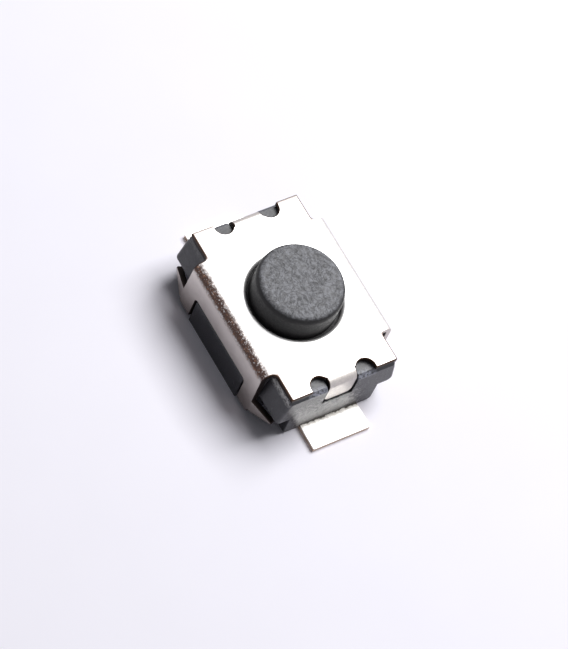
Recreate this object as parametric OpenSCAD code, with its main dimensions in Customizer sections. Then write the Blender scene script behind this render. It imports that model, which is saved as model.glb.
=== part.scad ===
// Tactile push button switch, surface mount, two terminals.
// Millimetres. The board is the plane z = 0 and the origin is under the middle of the switch.
// The terminals leave the housing along +X and -X, and the button is pressed along -Z.

/* [Cover] */
// Width of the cover over its folded side walls
cover_w = 3; // [2.8:0.02:3.4]
// Distance of the cover's ends behind the ends of the housing
cover_inset = 0.025; // [0:0.005:0.05]
// Height of the cover's top face above the board
cover_h = 1.44; // [1.38:0.02:1.7]
// Thickness of the plated sheet
sheet = 0.12; // [0.08:0.01:0.14]
// Inside radius of the sheet's folds
fold_r = 0.06; // [0.04:0.01:0.08]
// Length of the corner notches, from the cover's ends to its full width
notch_l = 0.635; // [0.6:0.005:0.75]
// Radius in the corner of each notch
notch_r = 0.1; // [0.04:0.01:0.14]
// Radius rolled on the rim of the button hole
hole_rim_r = 0.08; // [0.04:0.01:0.1]

/* [End flaps] */
// Width of each end flap
flap_w = 0.65; // [0.5:0.05:0.9]
// Height of the flap's lower edge above the board
flap_low = 0.78; // [0.6:0.02:1]
// Radius of the flap's lower corners
flap_corner_r = 0.14; // [0.05:0.01:0.2]
// Radius of the half round relief beside each flap
relief_r = 0.2; // [0.12:0.01:0.25]
// Depth of the relief from the cover's end
relief_depth = 0.275; // [0.26:0.005:0.4]
// Gap round each flap in its recess
flap_gap = 0.03; // [0.02:0.01:0.06]

/* [Side walls] */
// Width of each leg, beside the window
leg_w = 0.39; // [0.3:0.01:0.5]
// Height of the window's upper edge above the board
window_h = 0.72; // [0.5:0.02:0.9]
// Radius of the window's upper corners
window_r = 0.08; // [0.03:0.01:0.12]
// Height of the legs' lower ends above the board
leg_low = 0.1; // [0.05:0.01:0.2]
// Height of the hook where it leaves the leg
hook_h = 0.34; // [0.15:0.01:0.38]
// Gap between the hook and the corner block above it
hook_gap = 0.02; // [0.01:0.01:0.05]
// Length of the hook from its fold to its tip
hook_l = 0.5; // [0.3:0.02:0.55]
// Height of the hook's blunt tip
hook_tip = 0.06; // [0.04:0.01:0.16]
// Distance of the tip's top below the top of the hook at the leg
hook_drop = 0.12; // [0:0.01:0.16]
// Angle by which the hook is crimped inwards, in degrees
hook_angle = 19; // [8:1:24]

/* [Housing] */
// Length of the moulded housing
body_l = 4; // [3.9:0.05:4.5]
// Distance of the corner blocks' sides behind the outer face of the side walls
block_inset = 0.14; // [0.14:0.01:0.25]
// Radius of the corner blocks' upright edges
block_r = 0.08; // [0.02:0.01:0.12]
// Slope of the corner blocks' sides, as the distance they go in from the underside to the chamfer
block_draft = 0.08; // [0.02:0.01:0.1]
// Height of the chamfer along the corner blocks
chamfer_h = 0.25; // [0.07:0.01:0.3]
// Height of the corner blocks' underside above the board
shoulder_h = 0.56; // [0.48:0.01:0.65]
// Distance of the foot's sides behind the corner blocks' sides
foot_inset = 0.34; // [0.25:0.01:0.45]
// Gap between the wide middle of the housing and the folds of the hooks
middle_gap = 0.04; // [0.03:0.01:0.1]
// Width of the chamfer along the top edges
top_chamfer = 0.07; // [0.05:0.01:0.12]
// Radius of the corner blocks' lower edges
shoulder_r = 0.12; // [0.04:0.01:0.16]
// Radius of the foot's lower edges
foot_r = 0.1; // [0.04:0.01:0.14]
// Gap between the housing and the cover's side walls
cover_gap = 0.02; // [0.01:0.01:0.05]
// Depth of the housing's window pads behind the outer face of the side walls
pad_depth = 0.08; // [0.04:0.01:0.1]
// Gap round each window pad
pad_gap = 0.03; // [0.02:0.01:0.06]
// Height of the cavity floor above the board
floor_h = 0.42; // [0.4:0.01:0.5]

/* [Button] */
// Diameter of the button where it shows
button_d = 1.78; // [1.4:0.02:1.8]
// Height of the button's top above the cover, not pressed
button_out = 0.56; // [0.35:0.01:0.9]
// Radius round the edge of the button's top
button_edge_r = 0.15; // [0.04:0.01:0.18]
// Running gap between the button and the hole in the cover
button_gap = 0.065; // [0.04:0.005:0.1]
// Width of the collar that keeps the button under the cover
collar_w = 0.17; // [0.14:0.01:0.2]
// Thickness of the collar
collar_t = 0.2; // [0.12:0.01:0.22]
// Gap between the collar and the wall of the cavity
collar_gap = 0.06; // [0.04:0.01:0.08]
// Gap between the collar and the cover above it
rest_gap = 0.01; // [0.005:0.005:0.02]
// Diameter of the nub that presses on the dome
nub_d = 0.8; // [0.5:0.05:1]

/* [Dome and film] */
// Diameter of the snap dome
dome_d = 1.94; // [1.7:0.02:1.96]
// Height of the snap dome
dome_h = 0.32; // [0.28:0.01:0.34]
// Thickness of the snap dome
dome_t = 0.05; // [0.03:0.01:0.07]
// Gap between the dome's rim and its pocket
dome_gap = 0.05; // [0.03:0.01:0.06]
// Thickness of the insulating film
film_t = 0.05; // [0.03:0.01:0.06]
// Gap between the film's edge and the wall of the cavity
film_gap = 0.02; // [0.01:0.01:0.04]

/* [Terminals] */
// Thickness of the terminals
lead_t = 0.12; // [0.08:0.01:0.14]
// Width of the terminals' solder tabs
lead_w = 1.32; // [1:0.04:1.6]
// Length of each solder tab outside the housing
lead_out = 0.57; // [0.4:0.01:1]
// Width of the terminals inside the housing
neck_w = 0.6; // [0.4:0.05:0.7]
// Distance of each terminal's riser behind the end of the housing
riser_in = 0.38; // [0.3:0.02:0.5]
// Length of the solder tab's full width inside the housing
tab_in = 0.2; // [0.1:0.02:0.22]
// Thickness of the cavity floor over the terminals' inner strips
floor_skin = 0.04; // [0.02:0.01:0.05]
// Inside radius of the terminals' folds
lead_fold_r = 0.04; // [0.02:0.01:0.05]
// Radius of the pad under the middle of the dome
centre_pad_r = 0.3; // [0.2:0.02:0.4]
// Inside radius of the ring under the dome's rim
ring_in_r = 0.66; // [0.56:0.02:0.72]
// Gap between the two terminals where they pass each other
pole_gap = 0.15; // [0.1:0.01:0.2]
// Radius of the raised contacts
contact_r = 0.09; // [0.05:0.01:0.1]
// Height of the raised contacts above the cavity floor
contact_rise = 0.04; // [0.02:0.01:0.06]

/* [Hidden] */
$fn = 96;
cut = 0.2;
lap = 0.01;

cover_l = body_l - 2 * cover_inset;
full_w_l = cover_l - 2 * notch_l;
window_l = full_w_l - 2 * leg_w;
block_w = cover_w - 2 * block_inset;
ear_w = block_w - 2 * (top_chamfer + block_draft);
foot_w = block_w - 2 * foot_inset;
mid_l = full_w_l - 2 * middle_gap;
fold_out_r = fold_r + sheet;
hook_high = shoulder_h - hook_gap;
hook_low = hook_high - hook_h;
body_h = cover_h - sheet;
button_h = cover_h + button_out;
mid_w = cover_w - 2 * sheet - 2 * cover_gap;
pad_w = cover_w - 2 * pad_depth;
hole_r = button_d / 2 + button_gap;
collar_r = button_d / 2 + collar_w;
cavity_r = collar_r + collar_gap;
dome_pocket_r = dome_d / 2 + dome_gap;
contact_h = floor_h + contact_rise;
ledge_h = contact_h + dome_h;
film_top = ledge_h + film_t;
collar_top = body_h - rest_gap;
collar_low = collar_top - collar_t;
dome_ball_r = (dome_d * dome_d / 4 + dome_h * dome_h) / (2 * dome_h);
contact_ring_r = dome_d / 2 - contact_r;
contact_angles = [50, 130, 230, 310];
lead_end = body_l / 2 + lead_out;
riser_x = body_l / 2 - riser_in;
strip_h = floor_h - floor_skin - lead_t;
jog_r = min(lead_fold_r, (strip_h - lead_t) / 2 - lap);

// One quarter of a folded sheet's section, from +X to +Y round the fold's centre
module fold_section(inside_r, thickness) {
    intersection() {
        difference() {
            circle(inside_r + thickness);
            circle(inside_r);
        }
        square(inside_r + thickness);
    }
}

// Fills the inner corner at the origin with a round of radius r
module inner_round(r) {
    difference() {
        square(r);
        translate([r, r]) circle(r);
    }
}

// Rectangle from the origin whose corner at [width, 0] is rounded
module toe_rounded(width, height, r) {
    difference() {
        square([width, height]);
        translate([width, 0]) mirror([1, 0]) inner_round(r);
    }
}

// Draws its children on both sides of the XZ plane
module both_sides() {
    children();
    mirror([0, 1, 0]) children();
}

// Draws its children at both ends of the switch
module both_ends() {
    children();
    mirror([1, 0, 0]) children();
}

// Stands a drawing in the YZ plane and gives it a length along X, centred
module along_x(length) {
    rotate([90, 0, 90]) linear_extrude(length, center = true) children();
}

// Stands a drawing in the XZ plane and gives it a width along Y, centred
module along_y(width) {
    rotate([90, 0, 0]) linear_extrude(width, center = true) children();
}

// Half of the section across the cover, with the side wall and its fold
module cover_half_section() {
    translate([0, cover_h - sheet]) square([cover_w / 2 - fold_out_r, sheet]);
    translate([cover_w / 2 - fold_out_r, cover_h - fold_out_r]) fold_section(fold_r, sheet);
    translate([cover_w / 2 - sheet, leg_low]) square([sheet, cover_h - fold_out_r - leg_low]);
}

// Outline of the cover from above, with notched corners
module cover_plan() {
    square([full_w_l, cover_w], center = true);
    square([cover_l, ear_w], center = true);
    for (end = [0, 1]) mirror([end, 0]) {
        for (side = [0, 1]) mirror([0, side]) {
            translate([full_w_l / 2, ear_w / 2]) inner_round(notch_r);
        }
    }
}

// Opening between the legs of both side walls, with rounded upper corners
module window_cut() {
    along_y(cover_w + cut) {
        difference() {
            translate([-window_l / 2, leg_low - cut]) square([window_l, window_h - leg_low + cut]);
            for (end = [0, 1]) mirror([end, 0]) {
                translate([window_l / 2, window_h]) rotate(180) inner_round(window_r);
            }
        }
    }
}

// Rounds the lower outer corner of the legs, from the leg's end up to the hook
module leg_corner_cut() {
    along_y(cover_w + cut) {
        translate([full_w_l / 2, leg_low]) mirror([1, 0]) inner_round(hook_low - leg_low);
    }
}

// Button hole with its rolled rim
module button_hole_cut() {
    rim_bottom = cover_h - hole_rim_r;
    translate([0, 0, body_h - cut]) cylinder(r = hole_r, h = sheet + 2 * cut);
    rotate_extrude() {
        difference() {
            translate([0, rim_bottom]) square([hole_r + hole_rim_r, hole_rim_r + lap]);
            translate([hole_r + hole_rim_r, rim_bottom]) circle(hole_rim_r);
        }
    }
}

// Clears the end between the ears: the two reliefs and the strip where the flap folds
module flap_zone_cut() {
    relief_x = cover_l / 2 - relief_depth + relief_r;
    relief_y = flap_w / 2 + relief_r;
    fold_x = cover_l / 2 - fold_out_r;
    translate([0, 0, body_h - lap]) linear_extrude(sheet + 2 * lap) {
        translate([fold_x, -flap_w / 2 - lap]) square([fold_out_r + cut, flap_w + 2 * lap]);
        for (side = [-1, 1]) translate([relief_x, side * relief_y]) {
            circle(relief_r);
            translate([0, -relief_r]) square([cut + relief_depth, 2 * relief_r]);
        }
    }
}

// Flap folded down over the end of the housing
module end_flap() {
    flap_h = cover_h - flap_low;
    intersection() {
        along_y(flap_w) {
            translate([cover_l / 2 - fold_out_r, cover_h - fold_out_r]) fold_section(fold_r, sheet);
            translate([cover_l / 2 - sheet, flap_low]) square([sheet, flap_h - fold_out_r]);
        }
        translate([cover_l / 2, 0, flap_low]) along_x(cover_l) {
            toe_rounded(flap_w / 2, flap_h, flap_corner_r);
            mirror([1, 0]) toe_rounded(flap_w / 2, flap_h, flap_corner_r);
        }
    }
}

// Hook that runs on from a leg and is crimped in below the corner block
module crimped_hook() {
    fold_y = cover_w / 2 - sheet - fold_r;
    tip_high = hook_high - hook_drop;
    translate([full_w_l / 2, -fold_y, 0]) {
        rotate([0, 0, -90]) translate([0, 0, hook_low]) rotate_extrude(angle = hook_angle) {
            translate([fold_r, 0]) square([sheet, hook_high - hook_low]);
        }
        rotate([0, 0, hook_angle]) translate([0, -fold_r - sheet / 2, 0]) along_y(sheet) {
            polygon([
                [0, hook_low],
                [hook_l, tip_high - hook_tip],
                [hook_l, tip_high],
                [0, hook_high]
            ]);
        }
    }
}

// Folded and pierced cover: side walls with legs and hooks, notched corners, end flaps
module cover() {
    color([0.86, 0.85, 0.84]) {
        difference() {
            intersection() {
                along_x(cover_l) {
                    cover_half_section();
                    mirror([1, 0]) cover_half_section();
                }
                linear_extrude(cover_h + cut) cover_plan();
            }
            window_cut();
            both_ends() leg_corner_cut();
            both_ends() flap_zone_cut();
            button_hole_cut();
        }
        both_ends() end_flap();
        both_ends() both_sides() crimped_hook();
    }
}

// Half of the section through the corner blocks and the foot
module end_half_section() {
    difference() {
        polygon([
            [0, shoulder_h],
            [block_w / 2, shoulder_h],
            [block_w / 2 - block_draft, body_h - chamfer_h],
            [ear_w / 2, body_h],
            [0, body_h]
        ]);
        translate([block_w / 2, shoulder_h]) mirror([1, 0]) inner_round(shoulder_r);
    }
    toe_rounded(foot_w / 2, shoulder_h + lap, foot_r);
}

// Outline of the corner blocks from above
module block_plan() {
    difference() {
        square([body_l, block_w], center = true);
        for (end = [0, 1]) mirror([end, 0]) {
            for (side = [0, 1]) mirror([0, side]) {
                translate([body_l / 2, block_w / 2]) rotate(180) inner_round(block_r);
            }
        }
    }
}

// Half of the section through the wide middle
module middle_half_section() {
    difference() {
        square([mid_w / 2, body_h]);
        translate([mid_w / 2 - top_chamfer, body_h]) chamfer_cut();
    }
}

// Triangle that bevels the edge below and to the right of the origin
module chamfer_cut() {
    polygon([
        [-lap, lap],
        [top_chamfer + lap, lap],
        [top_chamfer + lap, -top_chamfer - lap]
    ]);
}

// Recess in the end face that takes the cover's flap
module flap_recess_cut() {
    recess_x = cover_l / 2 - fold_out_r;
    recess_low = flap_low - flap_gap;
    recess_w = flap_w + 2 * flap_gap;
    translate([recess_x, -recess_w / 2, recess_low]) cube([body_l / 2, recess_w, cover_h]);
}

// Moulded housing with the dome pocket, the button cavity and seats for the terminals
module housing() {
    pad_h = window_h - pad_gap;
    pad_l = window_l - 2 * pad_gap;
    color([0.16, 0.16, 0.18]) {
        difference() {
            union() {
                intersection() {
                    along_x(body_l) {
                        end_half_section();
                        mirror([1, 0]) end_half_section();
                    }
                    linear_extrude(body_h) block_plan();
                }
                along_x(mid_l) {
                    middle_half_section();
                    mirror([1, 0]) middle_half_section();
                }
                translate([0, 0, pad_h / 2]) cube([pad_l, pad_w, pad_h], center = true);
            }
            translate([0, 0, floor_h]) cylinder(r = dome_pocket_r, h = cover_h);
            translate([0, 0, ledge_h]) cylinder(r = cavity_r, h = cover_h);
            both_ends() flap_recess_cut();
            both_ends() along_y(cover_w) translate([body_l / 2 - top_chamfer, body_h]) chamfer_cut();
            terminal_front();
            terminal_rear();
        }
    }
}

// Side view of a terminal: solder tab, fold up, riser, fold in and inner strip
module terminal_path(strip_end) {
    low_fold_x = riser_x + jog_r;
    low_fold_z = lead_t + jog_r;
    high_fold_x = riser_x - lead_t - jog_r;
    high_fold_z = strip_h - jog_r;
    translate([low_fold_x, 0]) square([lead_end - low_fold_x, lead_t]);
    translate([low_fold_x, low_fold_z]) rotate(180) fold_section(jog_r, lead_t);
    translate([riser_x - lead_t, low_fold_z]) square([lead_t, high_fold_z - low_fold_z]);
    translate([high_fold_x, high_fold_z]) fold_section(jog_r, lead_t);
    translate([strip_end, strip_h]) square([high_fold_x - strip_end, lead_t]);
}

// Outline of a terminal from above: wide solder tab, narrow neck
module terminal_plan() {
    tab_start = body_l / 2 - tab_in;
    translate([0, -neck_w / 2]) square([lead_end, neck_w]);
    translate([tab_start, -lead_w / 2]) square([lead_end - tab_start, lead_w]);
}

// Terminal strip from the solder tab to the given distance from the middle
module terminal_strip(strip_end) {
    intersection() {
        along_y(lead_w) terminal_path(strip_end);
        linear_extrude(cover_h) terminal_plan();
    }
}

// Raised contact on the inner strip, standing through the cavity floor
module raised_contact(radius) {
    translate([0, 0, strip_h]) cylinder(r = radius, h = contact_h - strip_h);
}

// Terminal with the contact under the middle of the dome
module terminal_front() {
    color([0.9, 0.9, 0.88]) {
        terminal_strip(0);
        translate([0, 0, strip_h]) cylinder(r = centre_pad_r, h = lead_t);
        raised_contact(centre_pad_r / 2);
    }
}

// Terminal with the open ring and the four contacts under the dome's rim
module terminal_rear() {
    opening_w = neck_w + 2 * pole_gap;
    color([0.9, 0.9, 0.88]) {
        mirror([1, 0, 0]) terminal_strip(contact_ring_r);
        difference() {
            translate([0, 0, strip_h]) cylinder(d = dome_d, h = lead_t);
            translate([0, 0, strip_h - lap]) cylinder(r = ring_in_r, h = lead_t + 2 * lap);
            translate([0, -opening_w / 2, strip_h - lap]) cube([dome_d, opening_w, lead_t + 2 * lap]);
        }
        for (a = contact_angles) rotate([0, 0, a]) translate([contact_ring_r, 0, 0]) raised_contact(contact_r);
    }
}

// Snap dome: a thin cap of a sphere, standing on the outer contacts
module snap_dome() {
    ball_z = ledge_h - dome_ball_r;
    color([0.78, 0.78, 0.76]) {
        intersection() {
            difference() {
                translate([0, 0, ball_z]) sphere(dome_ball_r);
                translate([0, 0, ball_z]) sphere(dome_ball_r - dome_t);
            }
            translate([0, 0, contact_h]) cylinder(d = dome_d + cut, h = dome_h + cut);
        }
    }
}

// Insulating film lying on the ledge over the dome
module insulating_film() {
    color([0.8, 0.55, 0.2]) {
        translate([0, 0, ledge_h]) cylinder(r = cavity_r - film_gap, h = film_t);
    }
}

// Button: round head, collar held under the cover and nub on the film
module button() {
    edge_z = button_h - button_edge_r;
    edge_x = button_d / 2 - button_edge_r;
    color([0.3, 0.3, 0.31]) {
        rotate_extrude() {
            translate([0, collar_low]) square([button_d / 2, edge_z - collar_low]);
            translate([0, edge_z - lap]) square([edge_x, button_edge_r + lap]);
            translate([edge_x, edge_z]) intersection() {
                circle(button_edge_r);
                square(button_edge_r);
            }
            translate([0, collar_low]) square([collar_r, collar_t]);
            translate([0, film_top]) square([nub_d / 2, collar_low - film_top + lap]);
        }
    }
}

housing();
terminal_front();
terminal_rear();
snap_dome();
insulating_film();
button();
cover();
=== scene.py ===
import math

import bmesh
import bpy
from mathutils import Matrix, Vector


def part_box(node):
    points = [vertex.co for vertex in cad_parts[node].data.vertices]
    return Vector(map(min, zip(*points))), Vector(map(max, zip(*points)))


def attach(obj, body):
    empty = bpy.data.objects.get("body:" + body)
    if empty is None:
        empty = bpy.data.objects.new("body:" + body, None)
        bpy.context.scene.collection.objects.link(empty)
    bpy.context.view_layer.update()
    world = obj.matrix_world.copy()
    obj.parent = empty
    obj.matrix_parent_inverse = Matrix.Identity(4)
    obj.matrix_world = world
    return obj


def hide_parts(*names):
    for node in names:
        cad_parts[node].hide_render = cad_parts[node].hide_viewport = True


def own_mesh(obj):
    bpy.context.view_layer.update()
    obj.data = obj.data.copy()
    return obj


bl_info = {
    "name": "Tactile Push Button Switch",
    "version": (1, 0, 0),
    "blender": (4, 5, 0),
    "location": "View3D > Sidebar > Switch",
    "description": "Dresses the CAD frame of a surface mount tactile switch",
    "category": "Object",
}

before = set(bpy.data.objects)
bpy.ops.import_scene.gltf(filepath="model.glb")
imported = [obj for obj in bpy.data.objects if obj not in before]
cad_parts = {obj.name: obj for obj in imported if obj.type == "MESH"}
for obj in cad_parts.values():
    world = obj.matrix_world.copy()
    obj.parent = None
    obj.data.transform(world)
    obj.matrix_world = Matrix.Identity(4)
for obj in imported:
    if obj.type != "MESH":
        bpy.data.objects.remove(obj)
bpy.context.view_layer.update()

# The pieces are modelled with one Blender unit to the millimetre, and brought to metres when they are finished
MM = 0.001
# How near a middle has to lie to a place, in millimetres, to count as being there
NEAR = 0.004
# How far a cutter reaches past what it cuts
CLEAR = 0.5
# Overlap that makes two solids one when they are joined
LAP = 0.01
# Edges shorter than this are scraps that a cut leaves where it only touches
SCRAP = 0.002
SIDES = (-1, 1)


def node_box(node):
    """Lowest and highest corner of a CAD node at rest, in millimetres."""
    low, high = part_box(node)
    return Vector(low) / MM, Vector(high) / MM


COVER_LOW, COVER_HIGH = node_box("cover")
HOUSING_HIGH = node_box("housing")[1]
BUTTON_LOW, BUTTON_HIGH = node_box("button")
TERMINAL_HIGH = node_box("terminal_front")[1]
DOME_LOW, DOME_HIGH = node_box("snap_dome")
FILM_LOW, FILM_HIGH = node_box("insulating_film")


def linear(code):
    """Linear colour from an sRGB hex value."""
    channels = [int(code[i:i + 2], 16) / 255 for i in (1, 3, 5)]
    return [c / 12.92 if c <= 0.04045 else ((c + 0.055) / 1.055) ** 2.4 for c in channels]


def length(name, description, default):
    """Property for a size in millimetres."""
    return bpy.props.FloatProperty(
        name=name, description=description + ", in millimetres", default=default, min=0, precision=3)


def angle(name, description, degrees):
    """Property for an angle given in degrees."""
    return bpy.props.FloatProperty(
        name=name, description=description, default=math.radians(degrees), subtype="ANGLE")


def colour(name, description, code):
    """Property for a colour given as an sRGB hex value."""
    return bpy.props.FloatVectorProperty(
        name=name, description=description, default=linear(code), size=3, min=0, max=1, subtype="COLOR")


class CoverSizes(bpy.types.PropertyGroup):
    """Sizes of the stamped and folded cover."""

    length: length("Length", "Length of the cover between its ears' ends", 2 * COVER_HIGH.x)
    width: length("Width", "Width over the folded side walls", 2 * COVER_HIGH.y)
    top: length("Top", "Height of the top face above the board", COVER_HIGH.z)
    leg_low: length("Leg end", "Height of the legs' lower ends", COVER_LOW.z)
    sheet: length("Sheet", "Thickness of the plated sheet", 0.12)
    fold: length("Fold", "Inside radius of the folds", 0.06)
    notch_length: length("Notch length", "Length of the corner notches", 0.635)
    notch_round: length("Notch corner", "Radius in the corner of each notch", 0.1)
    ear_width: length("Ear width", "Width of the cover at its ends", 2.42)
    leg_width: length("Leg width", "Width of each leg beside the window", 0.39)
    window_top: length("Window top", "Height of the window's upper edge", 0.72)
    window_round: length("Window corner", "Radius of the window's upper corners", 0.08)
    hook_low: length("Hook bottom", "Height of the hook's lower edge at the leg", 0.2)
    hook_high: length("Hook top", "Height of the hook's upper edge at the leg", 0.54)
    hook_length: length("Hook length", "Length of a hook from its fold to its tip", 0.5)
    hook_tip: length("Hook tip", "Height of the hook's blunt tip", 0.06)
    hook_drop: length("Hook drop", "Drop of the hook's upper edge to its tip", 0.12)
    hook_angle: angle("Hook angle", "Angle by which a hook is crimped inwards", 19)
    flap_width: length("Flap width", "Width of each end flap", 0.65)
    flap_low: length("Flap end", "Height of the flap's lower edge", 0.78)
    flap_round: length("Flap corner", "Radius of the flap's lower corners", 0.14)
    relief: length("Relief", "Radius of the half round relief beside a flap", 0.2)
    relief_depth: length("Relief depth", "Depth of a relief from the cover's end", 0.275)
    hole: length("Hole radius", "Radius of the button hole", 0.955)
    hole_round: length("Hole rim", "Radius rolled on the hole's rim", 0.08)
    edge: length("Edge", "Rounding of the sheared edges", 0.02)


class HousingSizes(bpy.types.PropertyGroup):
    """Sizes of the moulded housing."""

    length: length("Length", "Length of the housing", 2 * HOUSING_HIGH.x)
    pad_width: length("Pad width", "Width over the window pads, almost flush with the walls",
                      2 * COVER_HIGH.y - 0.02)
    top: length("Top", "Height of the top face under the cover", HOUSING_HIGH.z)
    middle_length: length("Middle length", "Length of the wide middle", 2.6)
    middle_width: length("Middle width", "Width of the middle between the side walls", 2.72)
    block_width: length("Block width", "Width over the corner blocks' undersides", 2.72)
    block_draft: length("Block draft", "Distance a block's side goes in up to the chamfer", 0.08)
    block_round: length("Block corner", "Radius of the blocks' upright edges", 0.08)
    chamfer: length("Chamfer", "Width of the chamfer along the top edges", 0.07)
    chamfer_height: length("Chamfer height", "Height of the chamfer along the blocks", 0.25)
    shoulder: length("Shoulder", "Height of the corner blocks' undersides", 0.56)
    shoulder_round: length("Shoulder edge", "Radius of the blocks' lower edges", 0.12)
    foot_width: length("Foot width", "Width of the foot", 2.04)
    foot_round: length("Foot edge", "Radius of the foot's lower edges", 0.1)
    pad_gap: length("Pad gap", "Gap round a window pad", 0.03)
    flap_gap: length("Flap gap", "Gap round a flap in its recess", 0.03)
    floor: length("Floor", "Height of the cavity floor", 0.42)
    pocket: length("Pocket radius", "Radius of the dome's pocket", 1.02)
    ledge: length("Ledge", "Height of the ledge under the film", 0.78)
    cavity: length("Cavity radius", "Radius of the button's cavity", 1.12)
    edge: length("Edge", "Rounding of the moulded edges", 0.02)


class ButtonSizes(bpy.types.PropertyGroup):
    """Sizes of the button."""

    top: length("Top", "Height of the button's top", BUTTON_HIGH.z)
    low: length("Nub end", "Height of the nub's lower end", BUTTON_LOW.z)
    collar: length("Collar radius", "Radius of the collar under the cover", BUTTON_HIGH.x)
    radius: length("Radius", "Radius of the button where it shows", 0.89)
    edge: length("Top edge", "Radius round the button's top", 0.15)
    collar_low: length("Collar bottom", "Height of the collar's underside", 1.11)
    collar_high: length("Collar top", "Height of the collar's upper side", 1.31)
    nub: length("Nub radius", "Radius of the nub", 0.4)
    small_edge: length("Small edge", "Radius on the edges of collar and nub", 0.03)


class TerminalSizes(bpy.types.PropertyGroup):
    """Sizes of the terminals, the snap dome and the film."""

    end: length("Tab end", "Distance of the tab's end from the middle", TERMINAL_HIGH.x)
    width: length("Tab width", "Width of a solder tab", 2 * TERMINAL_HIGH.y)
    contact_top: length("Contact top", "Height of the raised contacts", TERMINAL_HIGH.z)
    thickness: length("Thickness", "Thickness of the strip", 0.12)
    tab_start: length("Tab start", "Distance from the middle where the tab gets its full width", 1.8)
    neck: length("Neck width", "Width of the strip inside the housing", 0.6)
    riser: length("Riser", "Distance of the riser's outer face from the middle", 1.62)
    fold: length("Fold", "Inside radius of the strip's folds", 0.04)
    strip: length("Strip height", "Height of the inner strip's underside", 0.26)
    pad: length("Centre pad", "Radius of the pad under the dome", 0.3)
    ring_inside: length("Ring inside", "Inner radius of the ring under the dome's rim", 0.66)
    ring_outside: length("Ring outside", "Outer radius of the ring", DOME_HIGH.x)
    opening: length("Opening", "Width of the ring's opening", 0.9)
    contact: length("Contact", "Radius of a raised contact", 0.09)
    contact_circle: length("Contact circle", "Radius of the circle of contacts", 0.88)
    edge: length("Edge", "Rounding of the sheared edges", 0.012)
    dome_sheet: length("Dome sheet", "Thickness of the snap dome", 0.05)
    squashed: bpy.props.FloatProperty(
        name="Squashed", description="Share of the dome's height left when pressed", default=0.324, subtype="FACTOR")


class SwitchColours(bpy.types.PropertyGroup):
    """Colours of the switch's finishes and of the stage."""

    plating: colour("Plating", "Bright plating on the cover's top", "#F4F3F1")
    # Wall grey: partly duller tin, partly painted shade of the shadowed floor the walls mirror
    plating_dull: colour("Dull plating", "Plating on the walls and flaps", "#D2CBC6")
    # Painted shade: the walls darken towards the legs' ends, near the floor
    plating_low_painted_shade: colour("Low plating", "Darker plating towards the legs' ends", "#9A918D")
    plating_flap: colour("Flap plating", "Rough plating on the end flaps", "#B4AFAA")
    # Brown of worn plating in the specks and on the folds, also used as a painted dark reflection on the folds and on
    # the ears' rims
    plating_worn_and_dark_reflection: colour("Worn plating", "Brown plating on the folds", "#47322A")
    plating_cracked: colour("Cracked plating", "Paler flakes in the brown plating", "#A87C5E")
    # Near black: partly bare steel, partly painted shade
    sheared: colour("Sheared edge", "Bare steel of the sheared edges", "#2B2422")
    sheared_rim: colour("Sheared rim", "Brown rim of the sheared edges", "#3F2F25")
    tab: colour("Tin", "Tin on the solder tabs", "#F6F5F2")
    tab_dull: colour("Dull tin", "Rough tin where the mould closed on it", "#A9A59F")
    bronze: colour("Bronze", "Bare bronze where the strip was cut", "#BBA795")
    seam: colour("Seam", "Flash and dirt where a tab leaves the housing", "#3B3734")
    plastic: colour("Housing plastic", "Black moulded housing", "#1F1F23")
    plastic_pale: colour("Pale plastic", "Paler bloom on the housing", "#303136")
    # Painted highlight on the upper plastic edges and the relief floors
    plastic_painted_highlight: colour("Rubbed plastic", "Upper edges that the cover rubbed pale", "#9496A2")
    # Partly dust in the pores, partly a painted highlight and painted reflection
    plastic_dust_and_highlight: colour("Dusty plastic", "Bloom on the end faces over the tabs", "#BDBCB9")
    # Pale top: painted sheen on black plastic
    button: colour("Button plastic", "Matt top of the button", "#5E5E60")
    button_pale: colour("Pale button plastic", "Cooler, paler patches of the top", "#84858A")
    # Dark pits and creases, and painted shade down the button's side
    button_pits_and_painted_shade: colour("Dark button plastic", "Side of the button and its pits", "#0F0E0F")
    dome: colour("Dome", "Spring steel of the dome", "#C9C7C3")
    film: colour("Film", "Insulating film", "#B8762A")
    floor: colour("Floor", "Floor under the switch", "#F3F1FA")


class StageSettings(bpy.types.PropertyGroup):
    """Camera and lights."""

    azimuth: angle("Azimuth", "Turn of the camera round the switch", 35.91)
    elevation: angle("Elevation", "Height of the camera as an angle", 56.52)
    roll: angle("Roll", "Roll of the camera", 27.7)
    lens: bpy.props.FloatProperty(
        name="Lens", description="Focal length for a 36 mm sensor", default=203.57, unit="CAMERA")
    distance: length("Distance", "Distance of the camera from the middle of the switch", 71.589)
    slide_right: length("Slide right", "Move of the camera to its right", 0.1642)
    slide_up: length("Slide up", "Move of the camera upwards", 0.1529)
    lamp_distance: length("Lamp distance", "Distance of the soft box", 80)
    lamp_size: length("Lamp size", "Side of the soft box", 50)
    lamp_power: bpy.props.FloatProperty(
        name="Lamp power", description="Power of the soft box", default=0.081, unit="POWER", precision=4)
    ambient: bpy.props.FloatProperty(
        name="Ambient", description="Strength of the light from all round", default=0.11)


def clear_selection():
    """Leave edit mode, with nothing selected."""
    if bpy.context.object and bpy.context.object.mode != "OBJECT":
        bpy.ops.object.mode_set(mode="OBJECT")
    bpy.ops.object.select_all(action="DESELECT")


def activate(obj):
    """Make one object the only selected and the active one."""
    clear_selection()
    obj.select_set(True)
    bpy.context.view_layer.objects.active = obj


def near(a, b):
    """True when two distances are the same to within the tolerance."""
    return abs(a - b) < NEAR


def add_block(name, corner, opposite, material):
    """Block between two opposite corners, in any order."""
    clear_selection()
    low = Vector(map(min, corner, opposite))
    high = Vector(map(max, corner, opposite))
    bpy.ops.mesh.primitive_cube_add(size=1, location=(low + high) / 2, scale=high - low)
    bpy.ops.object.transform_apply(location=True, rotation=True, scale=True)
    block = bpy.context.object
    block.name = name
    block.data.materials.append(material)
    return block


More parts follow.
